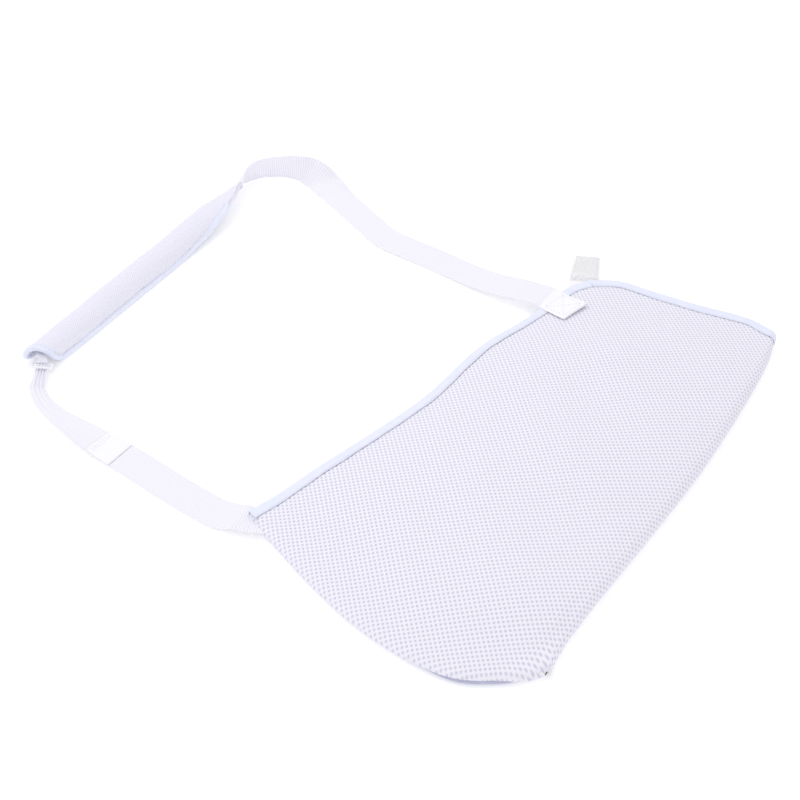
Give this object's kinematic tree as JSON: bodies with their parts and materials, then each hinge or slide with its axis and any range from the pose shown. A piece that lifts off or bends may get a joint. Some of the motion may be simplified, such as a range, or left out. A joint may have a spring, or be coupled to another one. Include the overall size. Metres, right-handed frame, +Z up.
{
  "type": "arm sling",
  "caption": "White arm sling: a folded mesh pouch for the forearm with a neck loop of webbing, a slider buckle, a curled shoulder pad and a hook closure tab.",
  "frame": {"origin": "bottom centre of the whole sling as it lies on a table", "axes": "+X along the pouch's fold from the elbow to the hand, +Y from the fold towards the mouth and the neck loop, +Z up"},
  "size_m": [0.4928, 0.578, 0.0306],
  "materials": {
    "spacer_mesh": "white spacer mesh with small dimples",
    "binding_tape": "smooth cool white tape",
    "webbing": "white ribbed webbing",
    "thread": "white thread",
    "hook_tape": "pale grey hook tape",
    "foam": "white foam",
    "buckle_plastic": "glossy white"
  },
  "bodies": {
    "pouch": {"pouch_front_panel": "spacer_mesh", "pouch_back_panel": "spacer_mesh", "mouth_binding": "binding_tape", "elbow_seam": "spacer_mesh", "lower_strap_end": "webbing", "front_tab": "webbing", "front_tab_stitch": "thread", "closure_anchor": "webbing"},
    "neck_loop": {"lower_strap": "webbing", "pad_face": "spacer_mesh", "pad_core": "foam", "pad_back": "spacer_mesh", "pad_binding": "binding_tape", "pad_loop": "webbing", "upper_strap": "webbing", "upper_strap_stitch": "thread"},
    "buckle": {"buckle": "buckle_plastic"},
    "tail": {"strap_tail": "webbing", "tail_hem": "webbing", "tail_hem_stitch": "thread"},
    "closure": {"closure_tab": "webbing", "closure_hook": "hook_tape"}
  },
  "joints": [
    {"name": "neck_loop_swing", "type": "hinge", "parent": "pouch", "child": "neck_loop", "pos_m": [-0.20644, 0.0004, 0.00739], "axis": [0.9792, -0.2018, 0.0206], "range_deg": [0, 100]},
    {"name": "buckle_tip", "type": "hinge", "parent": "neck_loop", "child": "buckle", "pos_m": [-0.16844, 0.2524, 0.00864], "axis": [0.5821, -0.8011, -0.1392], "range_deg": [-6, 6]},
    {"name": "tail_lift", "type": "hinge", "parent": "neck_loop", "child": "tail", "pos_m": [-0.16757, 0.25198, 0.01468], "axis": [-0.5821, 0.8011, 0.1392], "range_deg": [0, 70]},
    {"name": "closure_fold", "type": "hinge", "parent": "pouch", "child": "closure", "pos_m": [0.21056, -0.0912, 0.00924], "axis": [0.4384, -0.8988, 0], "range_deg": [0, 100]}
  ]
}
